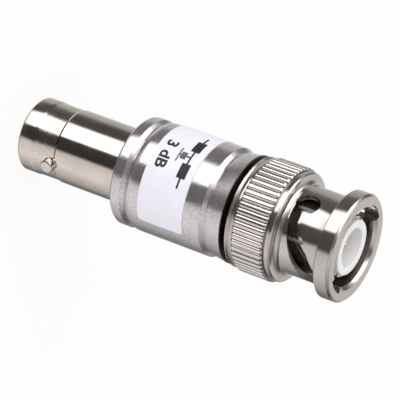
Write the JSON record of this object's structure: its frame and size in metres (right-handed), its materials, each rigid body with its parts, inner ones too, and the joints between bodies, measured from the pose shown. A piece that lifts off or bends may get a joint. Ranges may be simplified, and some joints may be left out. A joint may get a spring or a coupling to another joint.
{
  "type": "in-line coaxial attenuator",
  "caption": "In-line bayonet coaxial attenuator: lugged jack barrel, roll-crimped satin housing with a wrap label, and a plug with a knurled, sprung bayonet nut around slotted contact fingers.",
  "frame": {"origin": "centre of the jack's end face, on which the part stands", "axes": "+Z along the connector axis from the jack to the plug; the label's print faces -X and -Y"},
  "size_m": [0.0146, 0.0146, 0.0464],
  "materials": {
    "satin_steel": "satin turned",
    "bright_nickel": "bright nickel plate on brass",
    "label_film": "smooth white film",
    "white_insulator": "waxy white",
    "gold_contact": "gold plate",
    "plain_brass": "turned",
    "resistor_film": "resistive film on a ceramic rod",
    "resistor_ceramic": "resistive film on a ceramic disc",
    "black_rubber": "matt",
    "spring_steel": "rolled strip"
  },
  "bodies": {
    "body": {"housing": "satin_steel", "rating_label": "label_film", "jack_shell": "bright_nickel", "jack_insulator": "white_insulator", "jack_bead": "white_insulator", "jack_socket": "gold_contact", "input_contact_sleeve": "gold_contact", "input_resistor": "resistor_film", "input_ground_sleeve": "plain_brass", "centre_hub": "gold_contact", "shunt_disc": "resistor_ceramic", "disc_ring": "plain_brass", "output_ground_sleeve": "plain_brass", "output_resistor": "resistor_film", "output_contact_sleeve": "gold_contact", "plug_body": "bright_nickel", "plug_bead": "white_insulator", "centre_pin": "gold_contact", "plug_insulator": "white_insulator", "outer_contact": "bright_nickel", "gasket": "black_rubber", "wave_washer": "spring_steel"},
    "washer": {"thrust_washer": "spring_steel"},
    "nut": {"coupling_nut": "bright_nickel"}
  },
  "joints": [
    {"name": "nut_float", "type": "slide", "parent": "body", "child": "washer", "axis": [0, 0, 1], "range_m": [0, 0.0007], "stiffness_N_per_m": 1500, "deforming": ["wave_washer"]},
    {"name": "nut_spin", "type": "hinge", "parent": "washer", "child": "nut", "pos_m": [0, 0, 0.0327], "axis": [0, 0, 1], "continuous": true}
  ]
}
